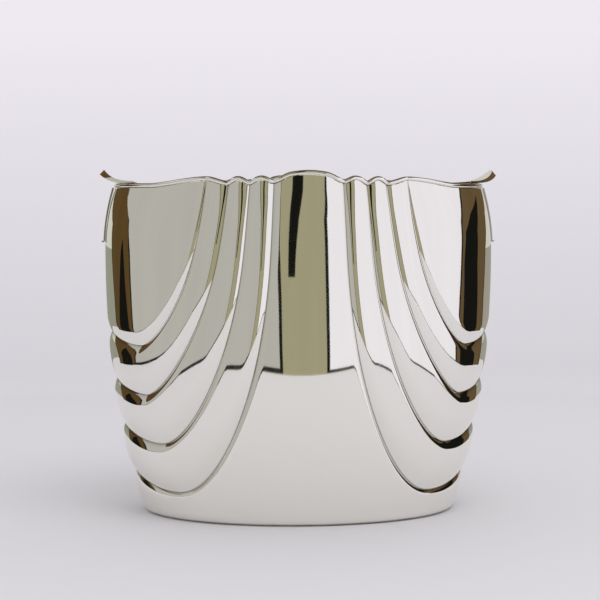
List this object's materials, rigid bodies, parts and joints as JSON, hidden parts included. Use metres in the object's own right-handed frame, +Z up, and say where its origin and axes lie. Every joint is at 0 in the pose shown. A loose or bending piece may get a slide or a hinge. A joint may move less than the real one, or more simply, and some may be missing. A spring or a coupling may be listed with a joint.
{
  "type": "oval champagne bucket",
  "caption": "Oval silver-plated champagne bucket with swagged drapery relief, a waved beaded rim and a flared ear with a hanging strap at each end.",
  "frame": {"origin": "middle of the flat base, on the surface the bucket stands on", "axes": "+X runs across the width to the right-hand ear, -Y faces the front, +Z is up"},
  "size_m": [0.257, 0.1702, 0.2202],
  "materials": {
    "body_silver": "mirror-polished silver plate",
    "base_silver": "silver plate, softer polish with fine scratches from standing on tables",
    "trim_silver": "mirror-polished silver plate"
  },
  "bodies": {
    "root": {"body_front": "body_silver", "body_back": "body_silver", "base_plate": "base_silver", "rim_bead_front": "trim_silver", "rim_bead_back": "trim_silver", "ear_left": "trim_silver", "ear_right": "trim_silver", "strap_left": "trim_silver", "strap_right": "trim_silver"}
  },
  "joints": []
}
